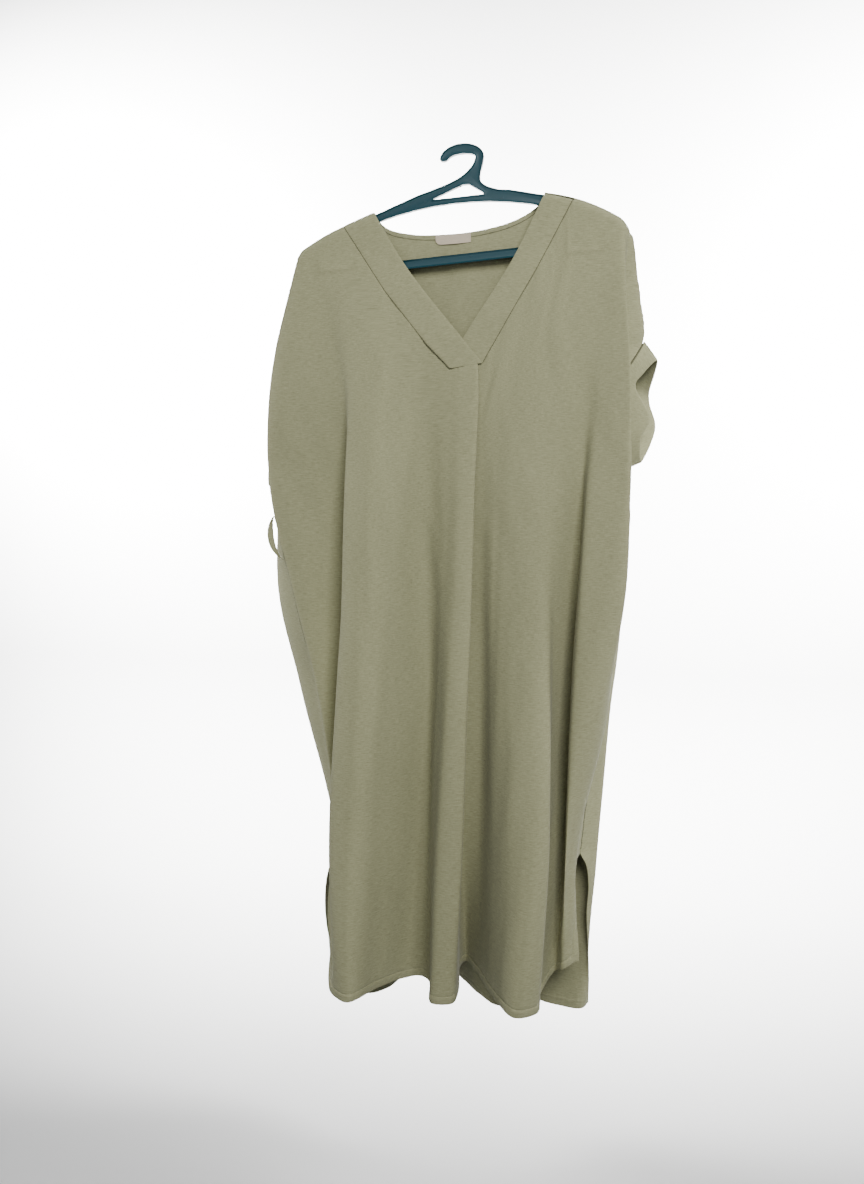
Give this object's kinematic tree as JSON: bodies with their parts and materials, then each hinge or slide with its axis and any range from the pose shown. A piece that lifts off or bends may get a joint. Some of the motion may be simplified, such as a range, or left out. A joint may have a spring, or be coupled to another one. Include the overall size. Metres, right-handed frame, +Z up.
{
  "type": "loose dress on a hanger",
  "caption": "Loose full-length dress with a V neck, cut-on cap sleeves, a knife pleat and side slits, hanging in folds on a moulded plastic hanger.",
  "frame": {"origin": "inner top of the hanger's hook, where a rod carries it", "axes": "+Z up, +X to the right of someone who faces the dress's front, front towards -Y"},
  "size_m": [0.543, 0.2359, 1.1927],
  "materials": {
    "sage_cloth": "matt woven cloth",
    "label_cloth": "matt folded tape",
    "teal_plastic": "satin moulded plastic"
  },
  "bodies": {
    "root": {"front_panel": "sage_cloth", "back_panel": "sage_cloth", "neck_band_over": "sage_cloth", "neck_band_under": "sage_cloth", "back_neck_binding": "sage_cloth", "cuff_left": "sage_cloth", "cuff_right": "sage_cloth", "belt_loop_left": "sage_cloth", "belt_loop_right": "sage_cloth", "neck_label": "label_cloth", "hanger": "teal_plastic"}
  },
  "joints": []
}
